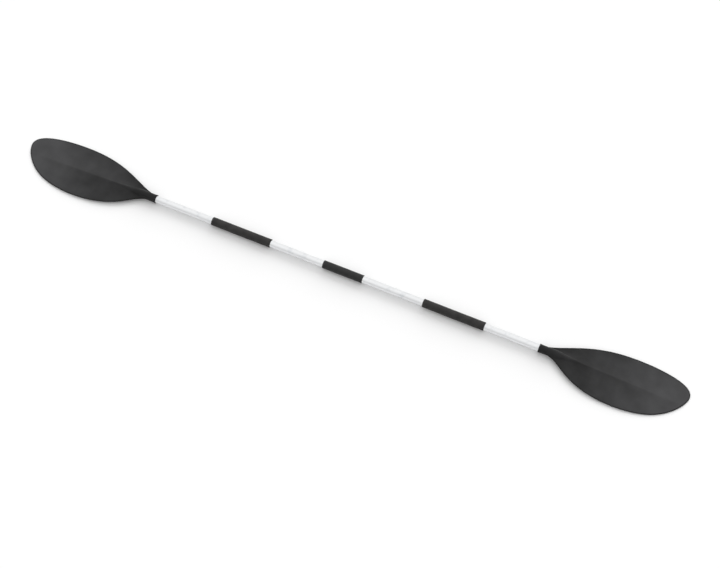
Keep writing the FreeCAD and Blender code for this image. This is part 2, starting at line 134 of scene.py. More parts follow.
@dataclass(frozen=True)
class SmoothLine:
    """A natural cubic spline through a few given points."""

    places: tuple[float, ...]
    heights: tuple[float, ...]

    def __call__(self, x: np.ndarray) -> np.ndarray:
        """Read the spline at x, which stays inside the first and last places."""
        px, py = np.array(self.places), np.array(self.heights)
        step = np.diff(px)
        count = len(px)
        system = np.eye(count)
        load = np.zeros(count)
        for i in range(1, count - 1):
            system[i, i - 1 : i + 2] = step[i - 1], 2 * (step[i - 1] + step[i]), step[i]
            load[i] = 6 * ((py[i + 1] - py[i]) / step[i] - (py[i] - py[i - 1]) / step[i - 1])
        bend = np.linalg.solve(system, load)
        x = np.clip(x, px[0], px[-1])
        k = np.clip(np.searchsorted(px, x, side="right") - 1, 0, count - 2)
        before, after = x - px[k], px[k + 1] - x
        return (
            (bend[k] * after**3 + bend[k + 1] * before**3) / (6 * step[k])
            + (py[k] / step[k] - bend[k] * step[k] / 6) * after
            + (py[k + 1] / step[k] - bend[k + 1] * step[k] / 6) * before
        )


# ---------------------------------------------------------------- mesh helpers


def skin_of_loops(
    name: str, loops: np.ndarray, cap_start: bool, cap_end: bool
) -> bpy.types.Object:
    """Join closed loops of points into one smooth mesh.

    Args:
        name: Name of the new object.
        loops: Points as (loop, point, xyz), every loop with the same count.
        cap_start: Close the first loop with a fan.
        cap_end: Close the last loop with a fan.

    Returns:
        The object, linked to the scene.
    """
    rings, count, _ = loops.shape
    points = [tuple(p) for p in loops.reshape(-1, 3)]
    faces = [
        (r * count + i, r * count + (i + 1) % count, (r + 1) * count + (i + 1) % count, (r + 1) * count + i)
        for r in range(rings - 1)
        for i in range(count)
    ]
    for wanted, ring, flip in ((cap_start, 0, True), (cap_end, rings - 1, False)):
        if wanted:
            centre = len(points)
            points.append(tuple(loops[ring].mean(axis=0)))
            first = ring * count
            for i in range(count):
                a, b = first + i, first + (i + 1) % count
                faces.append((b, a, centre) if flip else (a, b, centre))
    mesh = bpy.data.meshes.new(name)
    mesh.from_pydata(points, [], faces)
    tidy = bmesh.new()
    tidy.from_mesh(mesh)
    bmesh.ops.recalc_face_normals(tidy, faces=tidy.faces)
    tidy.to_mesh(mesh)
    tidy.free()
    for polygon in mesh.polygons:
        polygon.use_smooth = True
    piece = bpy.data.objects.new(name, mesh)
    bpy.context.scene.collection.objects.link(piece)
    return piece


def store_values(piece: bpy.types.Object, name: str, values: np.ndarray) -> None:
    """Keep one number per vertex on the mesh, for a material to read.

    Args:
        piece: The object whose mesh keeps them.
        name: Name of the attribute.
        values: One number per vertex.
    """
    attribute = piece.data.attributes.new(name, "FLOAT", "POINT")
    attribute.data.foreach_set("value", values.astype(np.float32))


# ---------------------------------------------------------------- material helpers


def linear(hex_colour: str) -> tuple[float, float, float, float]:
    """Turn an sRGB hex colour into the linear RGBA that a shader takes.

    Args:
        hex_colour: A colour such as "#2f2f30".

    Returns:
        Linear red, green and blue, and an alpha of 1.
    """
    channels = [int(hex_colour[i : i + 2], 16) / 255 for i in (1, 3, 5)]
    r, g, b = [c / 12.92 if c <= 0.04045 else ((c + 0.055) / 1.055) ** 2.4 for c in channels]
    return (r, g, b, 1.0)


def per_metre(size_mm: float) -> float:
    """The texture scale that makes a pattern repeat every size_mm.

    Args:
        size_mm: Size of the pattern.

    Returns:
        The scale for a texture node that reads metres.
    """
    return 1000.0 / size_mm


def add_node(
    owner: bpy.types.Material | bpy.types.World,
    kind: str,
    values: dict | None = None,
    links: dict | None = None,
    **settings: object,
) -> bpy.types.Node:
    """Add one shader node with its settings, socket values and incoming links.

    Args:
        owner: The material or world whose tree it joins.
        kind: The node's type name.
        values: Socket name or number to value.
        links: Socket name or number to the output socket that feeds it.
        **settings: Properties of the node itself.

    Returns:
        The new node.
    """
    tree = owner.node_tree
    node = tree.nodes.new(kind)
    for key, setting in settings.items():
        setattr(node, key, setting)
    for socket, value in (values or {}).items():
        node.inputs[socket].default_value = value
    for socket, source in (links or {}).items():
        tree.links.new(source, node.inputs[socket])
    return node


def start_material(name: str) -> tuple[bpy.types.Material, bpy.types.Node, bpy.types.NodeSocket]:
    """Make a material with only its shader and the row-frame coordinates.

    Args:
        name: The material's name.

    Returns:
        The material, its Principled shader and the coordinates' output socket.
    """
    material = bpy.data.materials.new(name)
    material.use_nodes = True
    material.node_tree.nodes.clear()
    shader = add_node(material, "ShaderNodeBsdfPrincipled")
    add_node(material, "ShaderNodeOutputMaterial", links={"Surface": shader.outputs["BSDF"]})
    place = add_node(material, "ShaderNodeTexCoord").outputs["Object"]
    return material, shader, place


def connect(
    owner: bpy.types.Material | bpy.types.World,
    source: bpy.types.NodeSocket,
    target: bpy.types.NodeSocket,
) -> None:
    """Link two sockets.

    Args:
        owner: The material or world whose tree holds them.
        source: The output.
        target: The input.
    """
    owner.node_tree.links.new(source, target)


def two_tone(
    material: bpy.types.Material, share: bpy.types.NodeSocket, first: str, second: str
) -> bpy.types.NodeSocket:
    """Mix two hex colours.

    Args:
        material: The material whose tree it joins.
        share: Output that says how much of the second colour shows.
        first: Colour where the share is 0.
        second: Colour where the share is 1.

    Returns:
        The mixed colour's output.
    """
    mix = add_node(
        material, "ShaderNodeMix", {6: linear(first), 7: linear(second)}, {"Factor": share},
        data_type="RGBA",
    )
    return mix.outputs[2]


# ---------------------------------------------------------------- finishes


@dataclass(frozen=True)
class MouldedNylon:
    """Glass-filled nylon, injection moulded in a spark-eroded tool.

    It reads as a charcoal black with a dry sheen: a fine even grain and faint clouds, with painted
    light that turns it paler towards the tip, for the light the blade catches further out. The rim
    band is darker, with a few pale nicks.
    """

    name: str = "glass_filled_nylon_moulded"
    # painted shade and light: the blade runs from this dark colour at the neck to the paler tip colour,
    # standing in for how the light falls along it
    shaded_neck: str = "#181818"
    # painted light: the paler colour at the tip, for the light the blade catches there
    tip: str = "#414142"
    rim: str = "#0c0c0c"
    nick: str = "#4a4a49"
    roughness: float = 0.5
    specular: float = 0.2        # fine grain shadows itself, so it shines less than a smooth face
    grain_mm: float = 1.6        # the tool's grain is nearer 0.4 mm, drawn coarser so that it shows
    grain_depth_mm: float = 0.05
    cloud_mm: float = 60.0
    nick_mm: float = 4.0

    def build(self) -> bpy.types.Material:
        """Make the material."""
        material, shader, place = start_material(self.name)
        clouds = add_node(
            material, "ShaderNodeTexNoise",
            {"Scale": per_metre(self.cloud_mm), "Detail": 4.0, "Roughness": 0.5}, {"Vector": place},
        )
        # painted light: a share from 0 at the mouth to 1 at the tip, mixed with the clouds, makes the blade
        # paler towards the tip
        painted_tip_light = add_node(material, "ShaderNodeAttribute", attribute_name="painted_tip_light")
        drift = add_node(
            material, "ShaderNodeMath", {1: 0.8},
            {0: clouds.outputs["Fac"], 2: painted_tip_light.outputs["Fac"]}, operation="MULTIPLY_ADD",
        )
        share = add_node(
            material, "ShaderNodeMapRange", {"From Min": 0.5, "From Max": 1.4},
            {"Value": drift.outputs["Value"]},
        )
        tone = two_tone(material, share.outputs["Result"], self.shaded_neck, self.tip)
        band = add_node(material, "ShaderNodeAttribute", attribute_name="rim_band")
        edged = add_node(
            material, "ShaderNodeMix", {7: linear(self.rim)},
            {"Factor": band.outputs["Fac"], 6: tone}, data_type="RGBA",
        )
        specks = add_node(
            material, "ShaderNodeTexNoise",
            {"Scale": per_metre(self.nick_mm), "Detail": 5.0, "Roughness": 0.7}, {"Vector": place},
        )
        speck_share = add_node(
            material, "ShaderNodeMapRange", {"From Min": 0.64, "From Max": 0.7},
            {"Value": specks.outputs["Fac"]},
        )
        nicks = add_node(
            material, "ShaderNodeMath",
            links={0: speck_share.outputs["Result"], 1: band.outputs["Fac"]}, operation="MULTIPLY",
        )
        worn = add_node(
            material, "ShaderNodeMix", {7: linear(self.nick)},
            {"Factor": nicks.outputs["Value"], 6: edged.outputs[2]}, data_type="RGBA",
        )
        connect(material, worn.outputs[2], shader.inputs["Base Color"])

        rough = add_node(
            material, "ShaderNodeMapRange",
            {"To Min": self.roughness - 0.05, "To Max": self.roughness + 0.05},
            {"Value": clouds.outputs["Fac"]},
        )
        connect(material, rough.outputs["Result"], shader.inputs["Roughness"])
        grain = add_node(
            material, "ShaderNodeTexNoise",
            {"Scale": per_metre(self.grain_mm), "Detail": 2.0}, {"Vector": place},
        )
        bump = add_node(
            material, "ShaderNodeBump",
            {"Strength": 0.35, "Distance": self.grain_depth_mm * MM}, {"Height": grain.outputs["Fac"]},
        )
        connect(material, bump.outputs["Normal"], shader.inputs["Normal"])
        shader.inputs["IOR"].default_value = 1.53
        shader.inputs["Specular IOR Level"].default_value = self.specular
        return material


@dataclass(frozen=True)
class AnodisedAluminium:
    """Drawn aluminium tube, satin anodised.

    It reads as a pale silver with a soft broad highlight, drawn out along the tube by fine die
    lines, and with a few duller handling marks.
    """

    name: str = "aluminium_drawn_satin_anodised"
    silver: str = "#f1f2f3"
    dull: str = "#e2e4e6"
    roughness: float = 0.34
    line_mm: float = 0.9         # die lines are nearer 0.1 mm apart, drawn coarser so that they show
    line_length_mm: float = 90.0
    mark_mm: float = 26.0

    def build(self) -> bpy.types.Material:
        """Make the material."""
        material, shader, place = start_material(self.name)
        stretch = (self.line_mm / self.line_length_mm, 1.0, 1.0)
        drawn = add_node(
            material, "ShaderNodeMapping", {"Scale": stretch}, {"Vector": place}, vector_type="POINT",
        )
        lines = add_node(
            material, "ShaderNodeTexNoise",
            {"Scale": per_metre(self.line_mm), "Detail": 4.0, "Roughness": 0.6},
            {"Vector": drawn.outputs["Vector"]},
        )
        marks = add_node(
            material, "ShaderNodeTexNoise",
            {"Scale": per_metre(self.mark_mm), "Detail": 5.0, "Roughness": 0.65}, {"Vector": place},
        )
        mark_share = add_node(
            material, "ShaderNodeMapRange", {"From Min": 0.52, "From Max": 0.7},
            {"Value": marks.outputs["Fac"]},
        )
        tone = two_tone(material, mark_share.outputs["Result"], self.silver, self.dull)
        connect(material, tone, shader.inputs["Base Color"])
        rough = add_node(
            material, "ShaderNodeMapRange",
            {"To Min": self.roughness - 0.06, "To Max": self.roughness + 0.08},
            {"Value": lines.outputs["Fac"]},
        )
        connect(material, rough.outputs["Result"], shader.inputs["Roughness"])
        bump = add_node(
            material, "ShaderNodeBump", {"Strength": 0.12, "Distance": 0.02 * MM},
            {"Height": lines.outputs["Fac"]},
        )
        connect(material, bump.outputs["Normal"], shader.inputs["Normal"])
        shader.inputs["Metallic"].default_value = 1.0
        return material


@dataclass(frozen=True)
class FoamRubber:
    """Closed-cell foam rubber, extruded and skinned.

    It reads as a soft, light-swallowing surface: open pores in a thin skin, a little paler where
    hands have rubbed it.
    """

    name: str
    body: str
    rubbed: str
    pore_mm: float = 1.8         # real cells are nearer 0.5 mm, drawn coarser so that they show
    pore_depth_mm: float = 0.25
    cloud_mm: float = 24.0
    roughness: float = 0.88
    specular: float = 0.25       # the open skin traps most of its own shine

    def build(self) -> bpy.types.Material:
        """Make the material."""
        material, shader, place = start_material(self.name)
        clouds = add_node(
            material, "ShaderNodeTexNoise",
            {"Scale": per_metre(self.cloud_mm), "Detail": 5.0, "Roughness": 0.6}, {"Vector": place},
        )
        cloud_share = add_node(
            material, "ShaderNodeMapRange", {"From Min": 0.35, "From Max": 0.7},
            {"Value": clouds.outputs["Fac"]},
        )
        pores = add_node(
            material, "ShaderNodeTexVoronoi", {"Scale": per_metre(self.pore_mm), "Randomness": 1.0},
            {"Vector": place}, feature="F1",
        )
        pit = add_node(
            material, "ShaderNodeMapRange", {"From Min": 0.05, "From Max": 0.45},
            {"Value": pores.outputs["Distance"]},
        )
        tone = two_tone(material, cloud_share.outputs["Result"], self.body, self.rubbed)
        connect(material, tone, shader.inputs["Base Color"])
        bump = add_node(
            material, "ShaderNodeBump",
            {"Strength": 0.6, "Distance": self.pore_depth_mm * MM}, {"Height": pit.outputs["Result"]},
        )
        connect(material, bump.outputs["Normal"], shader.inputs["Normal"])
        shader.inputs["Roughness"].default_value = self.roughness
        shader.inputs["IOR"].default_value = 1.5
        shader.inputs["Specular IOR Level"].default_value = self.specular
        return material


@dataclass(frozen=True)
class PlainMetal:
    """A small metal part as it comes from its tool: set, stamped or turned.

    It reads by its polish: faint tool marks break up the highlight, with duller patches.
    """

    name: str
    bright: str
    dull: str
    roughness: float
    mark_mm: float = 1.2

    def build(self) -> bpy.types.Material:
        """Make the material."""
        material, shader, place = start_material(self.name)
        marks = add_node(
            material, "ShaderNodeTexNoise",
            {"Scale": per_metre(self.mark_mm), "Detail": 5.0, "Roughness": 0.6}, {"Vector": place},
        )
        tone = two_tone(material, marks.outputs["Fac"], self.bright, self.dull)
        connect(material, tone, shader.inputs["Base Color"])
        rough = add_node(
            material, "ShaderNodeMapRange",
            {"To Min": self.roughness - 0.08, "To Max": self.roughness + 0.1},
            {"Value": marks.outputs["Fac"]},
        )
        connect(material, rough.outputs["Result"], shader.inputs["Roughness"])
        bump = add_node(
            material, "ShaderNodeBump", {"Strength": 0.1, "Distance": 0.02 * MM},
            {"Height": marks.outputs["Fac"]},
        )
        connect(material, bump.outputs["Normal"], shader.inputs["Normal"])
        shader.inputs["Metallic"].default_value = 1.0
        return material


@dataclass(frozen=True)
class MouldedPlain:
    """Plain moulded polymer: a sleeve of ABS, or a ring of rubber.

    It reads as an even black with a soft highlight, broken by a fine grain.
    """

    name: str
    body: str
    pale: str
    roughness: float
    ior: float
    specular: float = 0.2        # the fine grain shadows itself
    grain_mm: float = 1.4
    cloud_mm: float = 16.0

    def build(self) -> bpy.types.Material:
        """Make the material."""
        material, shader, place = start_material(self.name)
        clouds = add_node(
            material, "ShaderNodeTexNoise",
            {"Scale": per_metre(self.cloud_mm), "Detail": 5.0, "Roughness": 0.6}, {"Vector": place},
        )
        cloud_share = add_node(
            material, "ShaderNodeMapRange", {"From Min": 0.35, "From Max": 0.7},
            {"Value": clouds.outputs["Fac"]},
        )
        tone = two_tone(material, cloud_share.outputs["Result"], self.body, self.pale)
        connect(material, tone, shader.inputs["Base Color"])
        grain = add_node(
            material, "ShaderNodeTexNoise", {"Scale": per_metre(self.grain_mm), "Detail": 3.0},
            {"Vector": place},
        )
        bump = add_node(
            material, "ShaderNodeBump", {"Strength": 0.3, "Distance": 0.06 * MM},
            {"Height": grain.outputs["Fac"]},
        )
        connect(material, bump.outputs["Normal"], shader.inputs["Normal"])
        rough = add_node(
            material, "ShaderNodeMapRange",
            {"To Min": self.roughness - 0.05, "To Max": self.roughness + 0.07},
            {"Value": clouds.outputs["Fac"]},
        )
        connect(material, rough.outputs["Result"], shader.inputs["Roughness"])
        shader.inputs["IOR"].default_value = self.ior
        shader.inputs["Specular IOR Level"].default_value = self.specular
        return material


# ---------------------------------------------------------------- blades


@dataclass
class Blade:
    """One moulded blade: a leaf with a spine, a rounded rim and a round socket.

    Heights are measured from the shaft's axis. Shares along the flare run from 0, where the neck
    starts to widen, to 1 at the tip.
    """

    side: Side
    body: str
    rim_thickness: float = 3.0 * MM
    spine_thickness: float = 5.5 * MM
    socket_wall: float = 1.75 * MM
    fit_gap: float = 0.05 * MM
    neck_straight: float = 8.0 * MM
    lip_rise: float = 0.9 * MM
    lip_fade: float = 9.0 * MM
    lip_round: float = 0.5 * MM
    tip_offset: float = 35.5 * MM
    crown: float = 11.5 * MM
    hollow: float = 3.4                  # how concave the flanks are: 1 is a flat roof
    crest: float = 0.02                  # half width of the spine's crest, in half spans
    valley: float = 0.09                 # the same on the underside
    fillet: float = 4.0 * MM             # where the nose runs into the leaf
    fillet_inset: float = 4.0 * MM       # distance in from the rim where that fillet is complete
    bead: float = 0.35 * MM              # raised edge along the rim
    bead_place: float = 3.2 * MM
    bead_width: float = 1.3 * MM
    thinning: float = 25.0 * MM          # how far in the moulding thins towards the rim
    rim_band: float = 3.0 * MM           # how far in the darker band along the rim reaches
    quarter: int = 36                    # points from spine to rim
    lip_steps: int = 5                   # loops round each edge of the lip
    neck_steps: int = 10
    stations: int = 260
    edge_samples: int = 2400             # about 0.25 mm apart
    crowding: float = 1.8                # above 1, the loops crowd together towards the tip
    turn_share: float = 0.12             # last share of the flare, where the loops centre on the tip
    nose_fade: float = 100.0 * MM        # end of the tube to where the nose has sunk into the leaf
    nose_corner: float = 0.03            # how softly the socket bends into the nose
    nose_side_fall: float = 3.0          # slope of the nose's height beside it, into the leaf
    nose_end_fall: float = 0.4           # the same beyond its end
    long_edge: tuple = ((0.04, 0.10), (0.22, 0.615), (0.48, 1.055), (0.90, 0.965), (1.00, 0.62))
    short_edge: tuple = ((0.08, 0.11), (0.17, 0.53), (0.405, 1.08), (0.87, 0.955), (1.00, -0.10))
    rim_line: SmoothLine = SmoothLine(
        (0.00, 0.08, 0.17, 0.27, 0.40, 0.54, 0.70, 0.86, 1.01),
        (0.075, 0.00, -0.15, -0.34, -0.54, -0.68, -0.80, -0.91, -1.00),
    )
    crown_line: SmoothLine = SmoothLine(
        (0.00, 0.08, 0.17, 0.27, 0.40, 0.54, 0.70, 0.86, 1.01),
        (0.62, 0.89, 0.98, 1.00, 0.93, 0.75, 0.49, 0.23, 0.07),
    )
    span_line: SmoothLine = SmoothLine(
        (0.00, 0.08, 0.17, 0.27, 0.40, 0.54, 0.70, 0.86, 1.01),
        (0.25, 0.34, 0.56, 0.84, 1.01, 1.07, 1.07, 1.06, 1.00),
    )

    def __post_init__(self) -> None:
        """Take the sizes that the frame fixes from the CAD blade and tube."""
        name = self.side.name.lower()
        blade_low, blade_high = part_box(f"{name}_blade")
        tube_low, tube_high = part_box(f"{name}_tube")
        reach = [abs(blade_low.x), abs(blade_high.x)]
        self.mouth, self.tip = min(reach), max(reach)
        self.tube_end = max(abs(tube_low.x), abs(tube_high.x))
        self.half_width = (blade_high.y - blade_low.y) / 2
        self.axis_height = (tube_low.z + tube_high.z) / 2
        self.drop = self.axis_height - self.rim_thickness
        self.bore = (tube_high.z - tube_low.z) / 2 + self.fit_gap
        self.socket = self.bore + self.socket_wall
        self.flare_start = self.mouth + self.neck_straight
        self.flare = self.tip - self.flare_start

    def edge(self, sign: int, shape: tuple) -> np.ndarray:
        """Sample one edge of the outline from the neck to the tip.

        Args:
            sign: 1 for the long edge and -1 for the short one.
            shape: Control points, as shares along the flare and of the half width.

        Returns:
            Rows of x and y.
        """
        poles = [(self.flare_start, sign * self.socket)]
        poles += [
            (self.flare_start + along * self.flare, sign * out * self.half_width) for along, out in shape
        ]
        poles.append((self.tip, self.tip_offset))
        return clamped_curve(np.array(poles), self.edge_samples)

    def leaf(self, x: np.ndarray, y: np.ndarray, to_rim: np.ndarray) -> tuple[np.ndarray, np.ndarray]:
        """Heights of the leaf's back and of its power face.

        Args:
            x: Distance from the middle of the paddle.
            y: Distance from the spine.
            to_rim: Distance in from the outline.

        Returns:
            The upper and the lower height at each place.
        """
        along = (x - self.flare_start) / self.flare
        across = np.abs(y) / (self.span_line(along) * self.half_width)
        rim = self.rim_line(along) * self.drop
        crown = self.crown_line(along) * self.crown

        def flank(softness: float) -> np.ndarray:
            """Concave fall from the spine to the rim."""
            return np.clip(1.0 - np.sqrt(across**2 + softness**2), 0.0, 1.0) ** self.hollow

        inward = smooth_step(to_rim, 0.0, self.thinning)
        thickness = self.rim_thickness + flank(self.valley) * inward * self.crown_line(along) * (
            self.spine_thickness - self.rim_thickness
        )
        radius = self.rim_thickness / 2
        roundness = np.sqrt(1.0 - (1.0 - np.clip(to_rim / radius, 0.0, 1.0)) ** 2)
        bead = self.bead * np.exp(-(((to_rim - self.bead_place) / self.bead_width) ** 2))
        bead = bead * smooth_step(along, 0.05, 0.2)
        top = rim + crown * flank(self.crest) - radius * (1.0 - roundness) + bead
        under = rim + crown * flank(self.valley) - thickness + radius * (1.0 - roundness)
        return top, under

    def socket_radius(self, x: np.ndarray) -> np.ndarray:
        """Outer radius of the socket and of the tapered nose beyond it, down to nothing.

        Args:
            x: Distance from the middle of the paddle.

        Returns:
            The radius at each x.
        """
        lip = self.lip_rise * (1.0 - smooth_step(x, self.mouth, self.mouth + self.lip_fade))
        taper = (x - self.tube_end - self.socket_wall) / (self.nose_fade - self.socket_wall)
        taper = (taper + np.sqrt(taper**2 + self.nose_corner**2)) / 2
        return np.maximum((self.socket + lip) * (1.0 - taper), 0.0)

    def socket_height(self, x: np.ndarray, y: np.ndarray) -> np.ndarray:
        """Height of the socket and nose above the axis, falling away steeply on both sides.

        Args:
            x: Distance from the middle of the paddle.
            y: Distance from the spine.

        Returns:
            The height at each place.
        """
        radius = self.socket_radius(x)
        beside = np.maximum(np.abs(y) - radius, 0.0)
        beyond = np.maximum(x - self.tube_end - self.nose_fade, 0.0)
        fall = self.nose_side_fall * beside + self.nose_end_fall * beyond
        return np.sqrt(np.maximum(radius**2 - y**2, 0.0)) - fall

    def loops(self) -> tuple[np.ndarray, np.ndarray]:
        """Every loop of the blade, from the bottom of the bore round the lip to the tip.

        Returns:
            The loops as (loop, point, xyz), and how much each point belongs to the rim band.
        """
        quarter = np.arange(self.quarter) / self.quarter
        out = np.concatenate([quarter, 1.0 - quarter, -quarter, quarter - 1.0])
        share = np.sign(out) * (1.0 - np.cos(np.pi * np.abs(out))) / 2
        # From the spine over the long edge, back under the spine and up round the short edge.
        is_top = np.repeat([1.0, -1.0, -1.0, 1.0], self.quarter)

        def ring(x: float, radius: float) -> np.ndarray:
            """A round loop about the shaft's axis."""
            y = share * radius
            z = is_top * np.sqrt(np.maximum(radius**2 - y**2, 0.0))
            return np.stack([np.full_like(y, x), y, z], axis=1)

        rows = [ring(self.tube_end + self.fit_gap, self.bore), ring(self.mouth + self.lip_round, self.bore)]
        lip_radius = self.socket + self.lip_rise
        for turn in np.linspace(0, math.pi / 2, self.lip_steps):
            rows.append(ring(
                self.mouth + self.lip_round * (1 - math.sin(turn)),
                self.bore + self.lip_round * (1 - math.cos(turn)),
            ))
        for turn in np.linspace(0, math.pi / 2, self.lip_steps):
            rows.append(ring(
                self.mouth + self.lip_round * (1 - math.cos(turn)),
                lip_radius - self.lip_round * (1 - math.sin(turn)),
            ))
        for x in np.linspace(self.mouth + 2 * self.lip_round, self.flare_start, self.neck_steps)[:-1]:
            rows.append(ring(x, float(self.socket_radius(np.array(x)))))
        neck_rows = len(rows)

        progress = np.linspace(0.0, 1.0, self.stations + 1)[:-1]
        x = self.flare_start + self.flare * (1.0 - (1.0 - progress) ** self.crowding)
        long_edge, short_edge = self.edge(1, self.long_edge), self.edge(-1, self.short_edge)
        far = np.interp(x, long_edge[:, 0], long_edge[:, 1])
        near = np.interp(x, short_edge[:, 0], short_edge[:, 1])
        middle = self.tip_offset * smooth_step(x, self.tip - self.turn_share * self.flare, self.tip)
        reach = np.where(share[None, :] >= 0, (far - middle)[:, None], (middle - near)[:, None])
        y = middle[:, None] + share[None, :] * reach
        xs = np.repeat(x[:, None], y.shape[1], axis=1)

        outline = np.concatenate([long_edge, short_edge[::-1]])
        to_rim = np.empty_like(y)
        for i in range(len(x)):
            gap = np.hypot(x[i] - outline[:, 0][None, :], y[i][:, None] - outline[:, 1][None, :])
            to_rim[i] = gap.min(axis=1)
        on_rim = np.isclose(np.abs(share), 1.0)
        to_rim[:, on_rim] = 0.0

        top, under = self.leaf(xs, y, to_rim)
        round_part = self.socket_height(xs, y)
        fillet = self.fillet * smooth_step(xs, self.flare_start, self.flare_start + 0.1 * self.flare)
        inside = smooth_step(to_rim, 0.0, self.fillet_inset)
        top = soft_max(top, round_part, fillet * inside)
        under = -soft_max(-under, round_part, fillet * inside)
        z = np.where(is_top[None, :] > 0, top, under)
        z = np.where(on_rim[None, :], (top + under) / 2, z)
        rows_out = np.concatenate([np.array(rows), np.stack([xs, y, z], axis=2)])
        rim = np.exp(-((to_rim / self.rim_band) ** 2)) * smooth_step(xs, self.mouth, self.tube_end)
        rim = np.concatenate([np.zeros((neck_rows, rim.shape[1])), rim])
        return rows_out, rim

    def build(self, finish: bpy.types.Material) -> bpy.types.Object:
        """Build the moulding, dress it and put it on its body.

        Args:
            finish: The nylon that it is moulded from.

        Returns:
            The blade's object.
        """
        name = self.side.name.lower()
        loops, rim = self.loops()
        loops[:, :, 0] *= self.side.value
        loops[:, :, 2] += self.axis_height
        piece = skin_of_loops(f"{name}_blade_moulding", loops, cap_start=True, cap_end=True)
        # share along the blade, read by the nylon as painted light that turns it paler towards the tip
        painted_tip_light = (np.abs(loops[:, :, 0]) - self.mouth) / (self.tip - self.mouth)
        for label, values in (("rim_band", rim), ("painted_tip_light", painted_tip_light)):
            ends = [values[0].mean(), values[-1].mean()]
            store_values(piece, label, np.concatenate([values.ravel(), ends]))
        piece.data.materials.append(finish)
        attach(piece, self.body)
        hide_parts(f"{name}_blade")
        log.info("%s: %d vertices", piece.name, len(piece.data.vertices))
        return piece


# ---------------------------------------------------------------- grips


@dataclass
class Grip:
    """A soft grip sleeve: rolled ends, and a slightly uneven outside from being slid on."""

    side: Side
    body: str
    end_round: float = 1.6 * MM
    swell: float = 0.12 * MM
    segments: int = 96
    rows: int = 150
    end_steps: int = 8                   # loops round each rolled end
    bore_margin: float = 0.3 * MM        # the swell starts this far out from the bore

    def build(self, finish: bpy.types.Material) -> bpy.types.Object:
        """Build the sleeve, dress it and put it on its body.

        Args:
            finish: The foam that it is made from.

        Returns:
            The grip's object.
        """
        name = self.side.name.lower()
        low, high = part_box(f"{name}_grip")
        tube_low, tube_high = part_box(f"{name}_tube")
        axis_height = (low.z + high.z) / 2
        inner = (tube_high.z - tube_low.z) / 2
        outer = (high.z - low.z) / 2 - self.swell
        profile = self.profile(low.x, high.x, inner, outer)
        angle = np.linspace(0, 2 * math.pi, self.segments, endpoint=False)
        loops = np.empty((len(profile), self.segments, 3))
        for row, (x, radius) in enumerate(profile):
            outside = smooth_step(radius, inner + self.bore_margin, outer)
            wave = (
                np.sin(3 * angle + 41.0 * x) + np.sin(2 * angle - 67.0 * x + 1.3) + np.sin(113.0 * x + angle)
            ) / 3
            r = radius + self.swell * wave * outside
            loops[row] = np.stack([np.full_like(angle, x), r * np.cos(angle), r * np.sin(angle)], axis=1)
        loops[:, :, 2] += axis_height
        piece = skin_of_loops(f"{name}_grip_foam", np.concatenate([loops, loops[:1]]), False, False)
        weld = bmesh.new()
        weld.from_mesh(piece.data)
        bmesh.ops.remove_doubles(weld, verts=weld.verts, dist=WELD)
        bmesh.ops.recalc_face_normals(weld, faces=weld.faces)
        weld.to_mesh(piece.data)
        weld.free()
        piece.data.materials.append(finish)
        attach(piece, self.body)
        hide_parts(f"{name}_grip")
        log.info("%s: %d vertices", piece.name, len(piece.data.vertices))
        return piece

    def profile(self, start: float, end: float, inner: float, outer: float) -> list[tuple[float, float]]:
        """The outline that is turned: along the bore, round one end, along the outside and back.

        Args:
            start: Lowest x of the grip.
            end: Highest x of the grip.
            inner: Radius of the bore.
            outer: Radius of the outside.

        Returns:
            Points of x and radius.
        """
        corner = self.end_round
        turns = np.linspace(0, math.pi / 2, self.end_steps)
        points = [(end, inner), (start, inner)]
        points += [
            (start + corner * (1 - math.cos(t)), outer - corner * (1 - math.sin(t))) for t in turns
        ]
        points += [(x, outer) for x in np.linspace(start + corner, end - corner, self.rows)[1:-1]]
        points += [
            (end - corner * (1 - math.cos(t)), outer - corner * (1 - math.sin(t))) for t in turns[::-1]
        ]
        return points


# ---------------------------------------------------------------- pieces that keep their CAD shape


@dataclass
class Hardware:
    """The CAD nodes that stay as they are and only get a finish."""

    finishes: dict[str, bpy.types.Material]

    def dress(self) -> None:
        """Give each node its finish."""
        for node, finish in self.finishes.items():
            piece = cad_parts[node]
            piece.data.materials.clear()
            piece.data.materials.append(finish)
            log.info("%s: %s", node, finish.name)


# ---------------------------------------------------------------- studio


